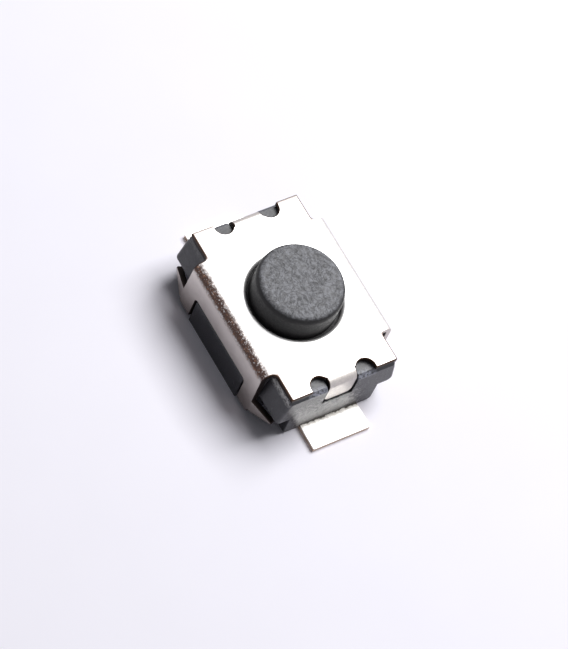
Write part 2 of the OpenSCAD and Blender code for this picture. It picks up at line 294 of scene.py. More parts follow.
def add_turned(name, outline, material, sides=128):
    """Turned solid: a disc extruded and resized from point to point of an outline of (radius, height)."""
    clear_selection()
    radius, height = outline[0]
    bpy.ops.mesh.primitive_circle_add(
        vertices=sides, radius=radius, fill_type="NGON", location=(0, 0, height))
    bpy.ops.object.transform_apply(location=True)
    turned = bpy.context.object
    turned.name = name
    turned.data.materials.append(material)
    bpy.ops.object.mode_set(mode="EDIT")
    bpy.ops.mesh.select_all(action="SELECT")
    for next_radius, next_height in outline[1:]:
        bpy.ops.mesh.extrude_region_move(TRANSFORM_OT_translate={"value": (0, 0, next_height - height)})
        growth = next_radius / radius
        bpy.ops.transform.resize(value=(growth, growth, 1), center_override=(0, 0, next_height))
        radius, height = next_radius, next_height
    bpy.ops.mesh.select_all(action="SELECT")
    bpy.ops.mesh.normals_make_consistent(inside=False)
    bpy.ops.object.mode_set(mode="OBJECT")
    return turned


def add_stacked(name, levels, corner, material):
    """Moulded block: a plane with rounded corners, extruded and resized through (height, half length, half width)."""
    clear_selection()
    height, half_l, half_w = levels[0]
    bpy.ops.mesh.primitive_plane_add(size=1, location=(0, 0, height))
    block = bpy.context.object
    block.name = name
    block.data.materials.append(material)
    bpy.ops.object.mode_set(mode="EDIT")
    bpy.ops.mesh.select_all(action="SELECT")
    bpy.ops.transform.resize(value=(2 * half_l, 2 * half_w, 1), center_override=(0, 0, height))
    bpy.ops.mesh.bevel(offset=corner, segments=6, affect="VERTICES", clamp_overlap=False)
    bpy.ops.mesh.select_all(action="SELECT")
    for next_height, next_half_l, next_half_w in levels[1:]:
        bpy.ops.mesh.extrude_region_move(TRANSFORM_OT_translate={"value": (0, 0, next_height - height)})
        growth = (next_half_l / half_l, next_half_w / half_w, 1)
        bpy.ops.transform.resize(value=growth, center_override=(0, 0, next_height))
        height, half_l, half_w = next_height, next_half_l, next_half_w
    bpy.ops.mesh.select_all(action="SELECT")
    bpy.ops.mesh.normals_make_consistent(inside=False)
    bpy.ops.object.mode_set(mode="OBJECT")
    bpy.ops.object.transform_apply(location=True)
    return block


def rounded_foot(low, half_l, half_w, edge_l, edge_w, steps=6):
    """Levels of a lower edge rounded by different amounts at the ends and along the sides."""
    levels = []
    for step in range(steps + 1):
        turn = math.pi / 2 * step / steps
        inset = 1 - math.sin(turn)
        levels.append((low + edge_w * (1 - math.cos(turn)), half_l - edge_l * inset, half_w - edge_w * inset))
    return levels


def arc(centre_radius, centre_height, radius, start, end, steps=6):
    """Points (radius, height) along an arc of an outline, between two angles in degrees."""
    points = []
    for step in range(steps + 1):
        turn = math.radians(start + (end - start) * step / steps)
        points.append((centre_radius + radius * math.cos(turn), centre_height + radius * math.sin(turn)))
    return points


def select(obj, kind, test):
    """Select in edit mode the edges or faces whose middle, and normal for a face, pass the test."""
    activate(obj)
    bpy.ops.object.mode_set(mode="EDIT")
    bpy.ops.mesh.select_mode(type=kind)
    bpy.ops.mesh.select_all(action="DESELECT")
    mesh = bmesh.from_edit_mesh(obj.data)
    found = 0
    for item in (mesh.faces if kind == "FACE" else mesh.edges):
        corners = [v.co for v in item.verts]
        middle = sum(corners, Vector()) / len(corners)
        along = item.normal if kind == "FACE" else (corners[1] - corners[0]).normalized()
        if test(middle, along):
            item.select_set(True)
            found += 1
    if not found:
        raise RuntimeError(obj.name + ": nothing to select")
    mesh.select_flush_mode()
    bmesh.update_edit_mesh(obj.data)


def round_edges(obj, test, radius, segments=8):
    """Round the edges that pass the test."""
    select(obj, "EDGE", test)
    bpy.ops.mesh.bevel(offset=radius, segments=segments, affect="EDGES", clamp_overlap=False)
    bpy.ops.object.mode_set(mode="OBJECT")


def combine(obj, other, operation="DIFFERENCE"):
    """Cut another solid from this one, or join it, and take the other's finish on the new faces."""
    modifier = obj.modifiers.new("combine", "BOOLEAN")
    modifier.operation = operation
    modifier.solver = "EXACT"
    modifier.material_mode = "TRANSFER"
    modifier.object = other
    activate(obj)
    bpy.ops.object.modifier_apply(modifier=modifier.name)
    bpy.data.objects.remove(other)


def soften_edges(obj, width, finish=-1, segments=2):
    """Round every sharp edge a little, in the finish of its neighbours or of one of the object's own."""
    activate(obj)
    bpy.ops.object.mode_set(mode="EDIT")
    bpy.ops.mesh.select_all(action="SELECT")
    bpy.ops.mesh.remove_doubles(threshold=SCRAP)
    bpy.ops.mesh.dissolve_degenerate(threshold=SCRAP)
    bpy.ops.object.mode_set(mode="OBJECT")
    bevel = obj.modifiers.new("soften", "BEVEL")
    bevel.width = width
    bevel.segments = segments
    bevel.limit_method = "ANGLE"
    bevel.angle_limit = math.radians(35)
    bevel.use_clamp_overlap = False
    bevel.material = finish
    bpy.ops.object.modifier_apply(modifier=bevel.name)


def finish_piece(obj, body, nodes):
    """Bring a piece to metres, shade it and tie it to the frame."""
    activate(obj)
    bpy.ops.object.mode_set(mode="EDIT")
    bpy.ops.mesh.select_all(action="SELECT")
    bpy.ops.mesh.remove_doubles(threshold=0.0002)
    bpy.ops.mesh.normals_make_consistent(inside=False)
    bpy.ops.object.mode_set(mode="OBJECT")
    bpy.ops.object.shade_smooth_by_angle(angle=math.radians(32))
    weights = obj.modifiers.new("flat faces", "WEIGHTED_NORMAL")
    weights.keep_sharp = True
    bpy.ops.object.modifier_apply(modifier=weights.name)
    obj.scale = (MM, MM, MM)
    bpy.ops.object.transform_apply(location=True, rotation=True, scale=True)
    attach(obj, body)
    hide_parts(*nodes)


def add_node(tree, kind, inputs=None, **settings):
    """Add a shader node with its settings, and fill or link its inputs."""
    node = tree.nodes.new("ShaderNode" + kind)
    for name, value in settings.items():
        setattr(node, name, value)
    for socket, value in (inputs or {}).items():
        if isinstance(value, bpy.types.NodeSocket):
            tree.links.new(value, node.inputs[socket])
        else:
            node.inputs[socket].default_value = value
    return node


def new_material(name):
    """Material with a place in millimetres to read patterns from."""
    material = bpy.data.materials.new(name)
    material.use_nodes = True
    tree = material.node_tree
    coordinates = add_node(tree, "TexCoord")
    scale = (1 / MM, 1 / MM, 1 / MM)
    place = add_node(tree, "Mapping", {"Vector": coordinates.outputs["Object"], "Scale": scale})
    return material, tree, tree.nodes["Principled BSDF"], place.outputs["Vector"]


def plated_sheet(colours):
    """Tin plated steel strip: matt white on top; greyer down the walls, partly duller tin and partly painted shade;
    rough on the flaps; and brown and flaking on the folds, strongest on -Y, partly wear and partly a painted dark
    reflection."""
    material, tree, shader, place = new_material("bright_plated_steel")
    shader.inputs["Metallic"].default_value = 1.0
    axes = add_node(tree, "SeparateXYZ", {"Vector": place})
    height = axes.outputs["Z"]
    along = add_node(tree, "Math", {0: axes.outputs["X"]}, operation="ABSOLUTE")
    across = add_node(tree, "Math", {0: axes.outputs["Y"]}, operation="ABSOLUTE")
    clouds = add_node(tree, "TexNoise", {"Vector": place, "Scale": 1 / 0.3, "Detail": 5.0, "Roughness": 0.65})
    grain = add_node(tree, "TexNoise", {"Vector": place, "Scale": 1 / 0.04, "Detail": 4.0, "Roughness": 0.7})
    flakes = add_node(tree, "TexNoise", {"Vector": place, "Scale": 1 / 0.07, "Detail": 6.0, "Roughness": 0.85})
    # Top: almost white, with a few dull specks
    specks = add_node(tree, "MapRange", {
        "Value": grain.outputs["Fac"], "From Min": 0.68, "From Max": 0.76, "To Min": 0.0, "To Max": 0.4})
    top = add_node(tree, "Mix", {
        0: specks.outputs[0], 6: (*colours.plating, 1), 7: (*colours.plating_worn_and_dark_reflection, 1)}, data_type="RGBA")
    # Walls and hooks: duller, warmer and cloudy plating, kept darker than the top as painted shade of the shadowed
    # floor they mirror, and darker still towards the legs' ends as painted shade near the floor
    depth = add_node(tree, "Math", {0: clouds.outputs["Fac"], 1: 0.7, 2: height}, operation="MULTIPLY_ADD")
    painted_low_shade = add_node(tree, "MapRange", {"Value": depth.outputs[0], "From Min": 1.5, "From Max": 0.5})
    wall = add_node(tree, "Mix", {
        0: painted_low_shade.outputs[0], 6: (*colours.plating_dull, 1), 7: (*colours.plating_low_painted_shade, 1)}, data_type="RGBA")
    low = add_node(tree, "MapRange", {
        "Value": height, "From Min": 1.33, "From Max": 1.24}, interpolation_type="SMOOTHSTEP")
    base = add_node(tree, "Mix", {
        0: low.outputs[0], 6: top.outputs[2], 7: wall.outputs[2]}, data_type="RGBA")
    # Flaps: rough and mottled from the sharp fold
    out = add_node(tree, "MapRange", {"Value": along.outputs[0], "From Min": 1.81, "From Max": 1.86})
    between = add_node(tree, "MapRange", {"Value": across.outputs[0], "From Min": 0.4, "From Max": 0.37})
    flap = add_node(tree, "Math", {0: out.outputs[0], 1: between.outputs[0]}, operation="MULTIPLY")
    mottle = add_node(tree, "MapRange", {
        "Value": flakes.outputs["Fac"], "From Min": 0.42, "From Max": 0.62, "To Max": 0.5})
    rough_tin = add_node(tree, "Mix", {
        0: mottle.outputs[0], 6: (*colours.plating_flap, 1), 7: (*colours.plating_dull, 1)}, data_type="RGBA")
    folded = add_node(tree, "Mix", {
        0: flap.outputs[0], 6: base.outputs[2], 7: rough_tin.outputs[2]}, data_type="RGBA")
    # Side folds: the distance round the fold is height less the distance across, from the wall in over the top. The
    # brown band there is partly worn, cracked plating and partly a painted dark reflection
    around = add_node(tree, "Math", {0: height, 1: across.outputs[0]}, operation="SUBTRACT")
    ragged = add_node(tree, "Math", {0: flakes.outputs["Fac"], 1: 0.3, 2: around.outputs[0]},
                      operation="MULTIPLY_ADD")
    wavy = add_node(tree, "Math", {0: clouds.outputs["Fac"], 1: 0.15, 2: ragged.outputs[0]},
                    operation="MULTIPLY_ADD")
    upper = add_node(tree, "MapRange", {"Value": wavy.outputs[0], "From Min": 0.44, "From Max": 0.23})
    lower = add_node(tree, "MapRange", {
        "Value": ragged.outputs[0], "From Min": -0.15, "From Max": 0.0}, interpolation_type="SMOOTHSTEP")
    band = add_node(tree, "Math", {0: upper.outputs[0], 1: lower.outputs[0]}, operation="MULTIPLY")
    # Painted dark reflection: the band is strongest on the -Y fold and fainter on the +Y fold
    side = add_node(tree, "MapRange", {
        "Value": axes.outputs["Y"], "From Min": -0.1, "From Max": 0.1, "To Min": 0.97, "To Max": 0.45})
    chipped = add_node(tree, "Math", {0: around.outputs[0], 1: 0.5, 2: grain.outputs["Fac"]},
                       operation="MULTIPLY_ADD")
    chips = add_node(tree, "MapRange", {
        "Value": chipped.outputs[0], "From Min": 0.54, "From Max": 0.64, "To Min": 1.0, "To Max": 0.45})
    rubbed = add_node(tree, "Math", {0: band.outputs[0], 1: side.outputs[0]}, operation="MULTIPLY")
    fold_wear_and_dark_reflection = add_node(tree, "Math", {0: rubbed.outputs[0], 1: chips.outputs[0]}, operation="MULTIPLY")
    rust = add_node(tree, "MapRange", {"Value": flakes.outputs["Fac"], "From Min": 0.53, "From Max": 0.72})
    brown = add_node(tree, "Mix", {
        0: rust.outputs[0], 6: (*colours.plating_worn_and_dark_reflection, 1), 7: (*colours.plating_cracked, 1)}, data_type="RGBA")
    creased = add_node(tree, "Mix", {
        0: fold_wear_and_dark_reflection.outputs[0], 6: folded.outputs[2], 7: brown.outputs[2]}, data_type="RGBA")
    # Ears: the punch drew their rims down, and the dark on those rims is a painted reflection
    tip = add_node(tree, "MapRange", {"Value": axes.outputs["X"], "From Min": -1.915, "From Max": -1.93})
    flank = add_node(tree, "MapRange", {"Value": across.outputs[0], "From Min": 1.165, "From Max": 1.18})
    outer = add_node(tree, "MapRange", {"Value": along.outputs[0], "From Min": 1.3, "From Max": 1.36})
    beside = add_node(tree, "Math", {0: flank.outputs[0], 1: outer.outputs[0]}, operation="MULTIPLY")
    rim = add_node(tree, "Math", {0: tip.outputs[0], 1: beside.outputs[0]}, operation="MAXIMUM")
    face = add_node(tree, "MapRange", {
        "Value": height, "From Min": 1.42, "From Max": 1.435, "To Min": 0.0, "To Max": 0.8})
    painted_rim_reflection = add_node(tree, "Math", {0: rim.outputs[0], 1: face.outputs[0]}, operation="MULTIPLY")
    finish = add_node(tree, "Mix", {
        0: painted_rim_reflection.outputs[0], 6: creased.outputs[2], 7: (*colours.plating_worn_and_dark_reflection, 1)}, data_type="RGBA")
    tree.links.new(finish.outputs[2], shader.inputs["Base Color"])
    polish = add_node(tree, "MapRange", {
        "Value": low.outputs[0], "To Min": 0.46, "To Max": 0.3})
    uneven = add_node(tree, "Math", {0: grain.outputs["Fac"], 1: 0.1, 2: polish.outputs[0]},
                      operation="MULTIPLY_ADD")
    dull = add_node(tree, "Math", {0: fold_wear_and_dark_reflection.outputs[0], 1: 0.2, 2: uneven.outputs[0]}, operation="MULTIPLY_ADD")
    tree.links.new(dull.outputs[0], shader.inputs["Roughness"])
    bump = add_node(tree, "Bump", {
        "Height": grain.outputs["Fac"], "Strength": 0.15, "Distance": 0.003 * MM})
    crust = add_node(tree, "Math", {0: fold_wear_and_dark_reflection.outputs[0], 1: flap.outputs[0]}, operation="MAXIMUM")
    rough = add_node(tree, "Math", {0: flakes.outputs["Fac"], 1: crust.outputs[0]}, operation="MULTIPLY")
    fold_bump = add_node(tree, "Bump", {
        "Height": rough.outputs[0], "Strength": 0.6, "Distance": 0.012 * MM, "Normal": bump.outputs[0]})
    tree.links.new(fold_bump.outputs[0], shader.inputs["Normal"])
    return material


def sheared_edge(colours):
    """Sheared edge of the strip: bare steel torn by the punch, painted almost black as shade, with a brown rim where it
    broke, and a painted highlight on the +Y side.
    """
    material, tree, shader, place = new_material("sheared_strip_edge")
    shader.inputs["Metallic"].default_value = 1.0
    shader.inputs["Roughness"].default_value = 0.5
    tears = add_node(tree, "TexNoise", {"Vector": place, "Scale": 1 / 0.06, "Detail": 3.0})
    axes = add_node(tree, "SeparateXYZ", {"Vector": place})
    ragged = add_node(tree, "Math", {0: tears.outputs["Fac"], 1: 0.06, 2: axes.outputs["Z"]},
                      operation="MULTIPLY_ADD")
    rim = add_node(tree, "MapRange", {"Value": ragged.outputs[0], "From Min": 1.4, "From Max": 1.46})
    tone = add_node(tree, "Mix", {
        0: rim.outputs[0], 6: (*colours.sheared, 1), 7: (*colours.sheared_rim, 1)}, data_type="RGBA")
    # Painted highlight: the cut edges on the lit +Y side are painted pale
    plus_y_painted_highlight = add_node(tree, "MapRange", {
        "Value": axes.outputs["Y"], "From Min": 1.24, "From Max": 1.28, "To Min": 0.0, "To Max": 0.9})
    finish = add_node(tree, "Mix", {
        0: plus_y_painted_highlight.outputs[0], 6: tone.outputs[2], 7: (*colours.plating_dull, 1)}, data_type="RGBA")
    tree.links.new(finish.outputs[2], shader.inputs["Base Color"])
    bump = add_node(tree, "Bump", {
        "Height": tears.outputs["Fac"], "Strength": 0.4, "Distance": 0.01 * MM})
    tree.links.new(bump.outputs[0], shader.inputs["Normal"])
    return material


def tinned_strip(colours):
    """Bronze strip dipped in tin and cut after it: white on top with fine scratches, bare bronze down the cut edges,
    rough and grey where the mould closed on it."""
    material, tree, shader, place = new_material("tinned_bronze")
    shader.inputs["Metallic"].default_value = 1.0
    patches = add_node(tree, "TexNoise", {
        "Vector": place, "Scale": 1 / 0.1, "Detail": 5.0, "Roughness": 0.75})
    axes = add_node(tree, "SeparateXYZ", {"Vector": place})
    reach = add_node(tree, "Math", {0: axes.outputs["X"]}, operation="ABSOLUTE")
    ragged = add_node(tree, "Math", {0: patches.outputs["Fac"], 1: 0.16, 2: reach.outputs[0]},
                      operation="MULTIPLY_ADD")
    root = add_node(tree, "MapRange", {
        "Value": ragged.outputs[0], "From Min": 2.2, "From Max": 2.14, "To Min": 0.0, "To Max": 0.9})
    spots = add_node(tree, "MapRange", {
        "Value": patches.outputs["Fac"], "From Min": 0.64, "From Max": 0.74, "To Min": 0.0, "To Max": 0.5})
    mask = add_node(tree, "Math", {0: root.outputs[0], 1: spots.outputs[0]}, operation="MAXIMUM")
    tin = add_node(tree, "Mix", {
        0: mask.outputs[0], 6: (*colours.tab, 1), 7: (*colours.tab_dull, 1)}, data_type="RGBA")
    # Broken dark line of flash and dirt at the housing
    line = add_node(tree, "MapRange", {
        "Value": ragged.outputs[0], "From Min": 2.12, "From Max": 2.105, "To Min": 0.0, "To Max": 0.95})
    dirty = add_node(tree, "Mix", {
        0: line.outputs[0], 6: tin.outputs[2], 7: (*colours.seam, 1)}, data_type="RGBA")
    # Cut edges lie between the strip's two tinned faces, which only the tabs show
    above = add_node(tree, "MapRange", {"Value": axes.outputs["Z"], "From Min": 0.002, "From Max": 0.01})
    below = add_node(tree, "MapRange", {"Value": axes.outputs["Z"], "From Min": 0.1, "From Max": 0.085})
    cut = add_node(tree, "Math", {0: above.outputs[0], 1: below.outputs[0]}, operation="MULTIPLY")
    tone = add_node(tree, "Mix", {
        0: cut.outputs[0], 6: dirty.outputs[2], 7: (*colours.bronze, 1)}, data_type="RGBA")
    tree.links.new(tone.outputs[2], shader.inputs["Base Color"])
    roughness = add_node(tree, "MapRange", {
        "Value": patches.outputs["Fac"], "From Min": 0.3, "From Max": 0.7, "To Min": 0.34, "To Max": 0.5})
    tree.links.new(roughness.outputs[0], shader.inputs["Roughness"])
    # Scratches run along the tab, as from the strip's guide
    stretched = add_node(tree, "Mapping", {"Vector": place, "Scale": (0.12, 1.0, 1.0)})
    scratches = add_node(tree, "TexNoise", {
        "Vector": stretched.outputs["Vector"], "Scale": 1 / 0.03, "Detail": 2.0})
    bump = add_node(tree, "Bump", {
        "Height": scratches.outputs["Fac"], "Strength": 0.2, "Distance": 0.003 * MM})
    pits = add_node(tree, "Bump", {
        "Height": patches.outputs["Fac"], "Strength": 0.3, "Distance": 0.008 * MM, "Normal": bump.outputs[0]})
    tree.links.new(pits.outputs[0], shader.inputs["Normal"])
    return material


def moulded_plastic(colours):
    """Glass filled nylon, injection moulded in an eroded tool: black, half glossy and grainy, with a faint pale
    bloom, and painted highlights along the upper edges at the ends."""
    material, tree, shader, place = new_material("black_moulded_nylon")
    shader.inputs["IOR"].default_value = 1.53
    cloud = add_node(tree, "TexNoise", {"Vector": place, "Scale": 1 / 0.25, "Detail": 5.0, "Roughness": 0.7})
    grain = add_node(tree, "TexNoise", {"Vector": place, "Scale": 1 / 0.05, "Detail": 4.0, "Roughness": 0.7})
    mask = add_node(tree, "MapRange", {"Value": cloud.outputs["Fac"], "From Min": 0.4, "From Max": 0.7})
    black = add_node(tree, "Mix", {
        0: mask.outputs[0], 6: (*colours.plastic, 1), 7: (*colours.plastic_pale, 1)}, data_type="RGBA")
    axes = add_node(tree, "SeparateXYZ", {"Vector": place})
    along = add_node(tree, "Math", {0: axes.outputs["X"]}, operation="ABSOLUTE")
    across = add_node(tree, "Math", {0: axes.outputs["Y"]}, operation="ABSOLUTE")
    # Painted highlights: the top's chamfer beside the notches, and the top itself in the reliefs
    end = add_node(tree, "MapRange", {"Value": along.outputs[0], "From Min": 1.3, "From Max": 1.36})
    lifted = add_node(tree, "Math", {0: cloud.outputs["Fac"], 1: 0.16, 2: axes.outputs["Z"]},
                      operation="MULTIPLY_ADD")
    chamfer = add_node(tree, "MapRange", {"Value": lifted.outputs[0], "From Min": 1.24, "From Max": 1.34})
    flank = add_node(tree, "MapRange", {"Value": across.outputs[0], "From Min": 1.18, "From Max": 1.22})
    # Inboard, under the cover's edge, the reliefs stay dark as painted shade
    rim = add_node(tree, "MapRange", {"Value": along.outputs[0], "From Min": 1.82, "From Max": 1.96, "To Max": 0.8})
    recess = add_node(tree, "MapRange", {
        "Value": across.outputs[0], "From Min": 0.8, "From Max": 0.74, "To Max": rim.outputs[0]})
    shown = add_node(tree, "Math", {0: flank.outputs[0], 1: recess.outputs[0]}, operation="MAXIMUM")
    edge = add_node(tree, "Math", {0: end.outputs[0], 1: chamfer.outputs[0]}, operation="MULTIPLY")
    painted_highlight_place = add_node(tree, "Math", {0: edge.outputs[0], 1: shown.outputs[0]}, operation="MULTIPLY")
    broken = add_node(tree, "MapRange", {
        "Value": grain.outputs["Fac"], "From Min": 0.42, "From Max": 0.56, "To Min": 0.1, "To Max": 1.0})
    # The painted highlights are stronger at the front end than at the rear
    front = add_node(tree, "MapRange", {
        "Value": axes.outputs["X"], "From Min": -1.0, "From Max": 1.0, "To Min": 0.15, "To Max": 1.0})
    more = add_node(tree, "Math", {0: broken.outputs[0], 1: front.outputs[0]}, operation="MULTIPLY")
    rubbed = add_node(tree, "Math", {0: painted_highlight_place.outputs[0], 1: more.outputs[0]}, operation="MULTIPLY")
    pale = add_node(tree, "Mix", {
        0: flank.outputs[0], 6: (*colours.plastic_painted_highlight, 1), 7: (*colours.plastic_dust_and_highlight, 1)}, data_type="RGBA")
    edged = add_node(tree, "Mix", {
        0: rubbed.outputs[0], 6: black.outputs[2], 7: pale.outputs[2]}, data_type="RGBA")
    # Pale bloom on the end faces over the tabs and towards -Y: partly release agent left in the pores, partly a painted
    # reflection of the bright tab and floor
    pores = add_node(tree, "TexNoise", {
        "Vector": place, "Scale": 1 / 0.09, "Detail": 6.0, "Roughness": 0.8, "Distortion": 0.6})
    face = add_node(tree, "MapRange", {"Value": along.outputs[0], "From Min": 1.96, "From Max": 1.99})
    low = add_node(tree, "MapRange", {"Value": axes.outputs["Z"], "From Min": 1.3, "From Max": 0.4})
    over_tab = add_node(tree, "MapRange", {"Value": axes.outputs["Y"], "From Min": 0.85, "From Max": 0.3})
    spread = add_node(tree, "Math", {0: face.outputs[0], 1: low.outputs[0]}, operation="MULTIPLY")
    # Left off the lower -Y corner, where the foot lies in shade
    slant = add_node(tree, "Math", {0: axes.outputs["Z"], 1: 0.4, 2: axes.outputs["Y"]}, operation="MULTIPLY_ADD")
    inner = add_node(tree, "MapRange", {"Value": slant.outputs[0], "From Min": -0.8, "From Max": -0.62})
    beside = add_node(tree, "Math", {0: over_tab.outputs[0], 1: inner.outputs[0]}, operation="MULTIPLY")
    dust_and_reflection_place = add_node(tree, "Math", {0: spread.outputs[0], 1: beside.outputs[0]}, operation="MULTIPLY")
    patchy = add_node(tree, "Math", {0: dust_and_reflection_place.outputs[0], 1: 0.4, 2: pores.outputs["Fac"]},
                      operation="MULTIPLY_ADD")
    bloom = add_node(tree, "MapRange", {
        "Value": patchy.outputs[0], "From Min": 0.62, "From Max": 0.94, "To Min": 0.0, "To Max": 0.8})
    tone = add_node(tree, "Mix", {
        0: bloom.outputs[0], 6: edged.outputs[2], 7: (*colours.plastic_dust_and_highlight, 1)}, data_type="RGBA")
    tree.links.new(tone.outputs[2], shader.inputs["Base Color"])
    # The window pads were moulded against polished steel
    pad = add_node(tree, "MapRange", {
        "Value": across.outputs[0], "From Min": 1.37, "From Max": 1.4, "To Min": 0.0, "To Max": 0.22})
    matt = add_node(tree, "MapRange", {
        "Value": grain.outputs["Fac"], "From Min": 0.3, "From Max": 0.7, "To Min": 0.32, "To Max": 0.5})
    roughness = add_node(tree, "Math", {0: matt.outputs[0], 1: pad.outputs[0]}, operation="SUBTRACT")
    tree.links.new(roughness.outputs[0], shader.inputs["Roughness"])
    eroded = add_node(tree, "MapRange", {
        "Value": across.outputs[0], "From Min": 1.37, "From Max": 1.4, "To Min": 1.0, "To Max": 0.15})
    pitted = add_node(tree, "Math", {0: grain.outputs["Fac"], 1: eroded.outputs[0]}, operation="MULTIPLY")
    bump = add_node(tree, "Bump", {
        "Height": pitted.outputs[0], "Strength": 0.5, "Distance": 0.01 * MM})
    tree.links.new(bump.outputs[0], shader.inputs["Normal"])
    return material


def button_plastic(colours):
    """Button moulded in an eroded tool: mottled top with fine dark pits and creases; the top's pale grey is a
    painted sheen and the darker side is painted shade."""
    material, tree, shader, place = new_material("matt_moulded_button")
    shader.inputs["IOR"].default_value = 1.5
    shader.inputs["Specular IOR Level"].default_value = 0.3
    axes = add_node(tree, "SeparateXYZ", {"Vector": place})
    cloud = add_node(tree, "TexNoise", {"Vector": place, "Scale": 1 / 0.09, "Detail": 6.0, "Roughness": 0.75})
    # The pale top is a painted sheen that ends raggedly on its rounded edge; the side below it is painted shade
    ragged = add_node(tree, "Math", {0: cloud.outputs["Fac"], 1: 0.05, 2: axes.outputs["Z"]},
                      operation="MULTIPLY_ADD")
    top = add_node(tree, "MapRange", {
        "Value": ragged.outputs[0], "From Min": BUTTON_HIGH.z - 0.03, "From Max": BUTTON_HIGH.z + 0.02},
        interpolation_type="SMOOTHSTEP")
    cool = add_node(tree, "MapRange", {"Value": cloud.outputs["Fac"], "From Min": 0.4, "From Max": 0.6})
    matt = add_node(tree, "Mix", {
        0: cool.outputs[0], 6: (*colours.button, 1), 7: (*colours.button_pale, 1)}, data_type="RGBA")
    # Creases are the thin valleys of a stretched noise, pits the low spots of a fine one
    creases = add_node(tree, "TexNoise", {
        "Vector": place, "Scale": 1 / 0.28, "Detail": 5.0, "Roughness": 0.65, "Distortion": 1.5})
    valley = add_node(tree, "Math", {0: creases.outputs["Fac"], 1: 0.5}, operation="SUBTRACT")
    depth = add_node(tree, "Math", {0: valley.outputs[0]}, operation="ABSOLUTE")
    crease_mask = add_node(tree, "MapRange", {
        "Value": depth.outputs[0], "From Min": 0.0, "From Max": 0.03, "To Min": 0.35, "To Max": 1.0})
    pits = add_node(tree, "TexNoise", {"Vector": place, "Scale": 1 / 0.035, "Detail": 2.0})
    pit_mask = add_node(tree, "MapRange", {
        "Value": pits.outputs["Fac"], "From Min": 0.3, "From Max": 0.45, "To Min": 0.5, "To Max": 1.0})
    clean = add_node(tree, "Math", {0: crease_mask.outputs[0], 1: pit_mask.outputs[0]}, operation="MULTIPLY")
    # The painted sheen covers the top only; pits, creases and the side take the dark colour
    mask = add_node(tree, "Math", {0: clean.outputs[0], 1: top.outputs[0]}, operation="MULTIPLY")
    tone = add_node(tree, "Mix", {
        0: mask.outputs[0], 6: (*colours.button_pits_and_painted_shade, 1), 7: matt.outputs[2]}, data_type="RGBA")
    tree.links.new(tone.outputs[2], shader.inputs["Base Color"])
    roughness = add_node(tree, "MapRange", {
        "Value": cloud.outputs["Fac"], "From Min": 0.3, "From Max": 0.7, "To Min": 0.45, "To Max": 0.6})
    tree.links.new(roughness.outputs[0], shader.inputs["Roughness"])
    bump = add_node(tree, "Bump", {
        "Height": cloud.outputs["Fac"], "Strength": 0.5, "Distance": 0.02 * MM})
    relief = add_node(tree, "Bump", {
        "Height": clean.outputs[0], "Strength": 0.4, "Distance": 0.01 * MM, "Normal": bump.outputs[0]})
    tree.links.new(relief.outputs[0], shader.inputs["Normal"])
    return material


def spring_steel(colours):
    """Rolled stainless spring strip of the dome: even grey sheen with a faint grain."""
    material, tree, shader, place = new_material("stainless_spring_steel")
    shader.inputs["Metallic"].default_value = 1.0
    grain = add_node(tree, "TexNoise", {"Vector": place, "Scale": 1 / 0.06, "Detail": 3.0})
    tone = add_node(tree, "Mix", {
        0: grain.outputs["Fac"], 6: (*colours.dome, 1), 7: (*colours.plating_dull, 1)}, data_type="RGBA")
    tree.links.new(tone.outputs[2], shader.inputs["Base Color"])
    roughness = add_node(tree, "MapRange", {
        "Value": grain.outputs["Fac"], "From Min": 0.3, "From Max": 0.7, "To Min": 0.25, "To Max": 0.38})
    tree.links.new(roughness.outputs[0], shader.inputs["Roughness"])
    return material


def polyimide_film(colours):
    """Polyimide film: amber, smooth and slightly cloudy."""
    material, tree, shader, place = new_material("amber_polyimide_film")
    shader.inputs["IOR"].default_value = 1.6
    shader.inputs["Roughness"].default_value = 0.3
    cloud = add_node(tree, "TexNoise", {"Vector": place, "Scale": 1 / 0.4, "Detail": 3.0})
    tone = add_node(tree, "Mix", {
        0: cloud.outputs["Fac"], 6: (*colours.film, 1), 7: (*[c * 0.7 for c in colours.film], 1)},
        data_type="RGBA")
    tree.links.new(tone.outputs[2], shader.inputs["Base Color"])
    return material


def floor_paper(colours):
    """Smooth white paper of the backdrop, with a barely visible mottling."""
    material, tree, shader, place = new_material("white_backdrop_paper")
    shader.inputs["Roughness"].default_value = 0.9
    shader.inputs["Specular IOR Level"].default_value = 0.1
    cloud = add_node(tree, "TexNoise", {"Vector": place, "Scale": 1 / 2.0, "Detail": 2.0})
    tone = add_node(tree, "Mix", {
        0: cloud.outputs["Fac"], 6: (*colours.floor, 1), 7: (*[c * 0.97 for c in colours.floor], 1)},
        data_type="RGBA")
    tree.links.new(tone.outputs[2], shader.inputs["Base Color"])
    return material


def shared_material(context, name, make):
    """The material of that name, made when it is first asked for."""
    return bpy.data.materials.get(name) or make(context.scene.switch_colours)


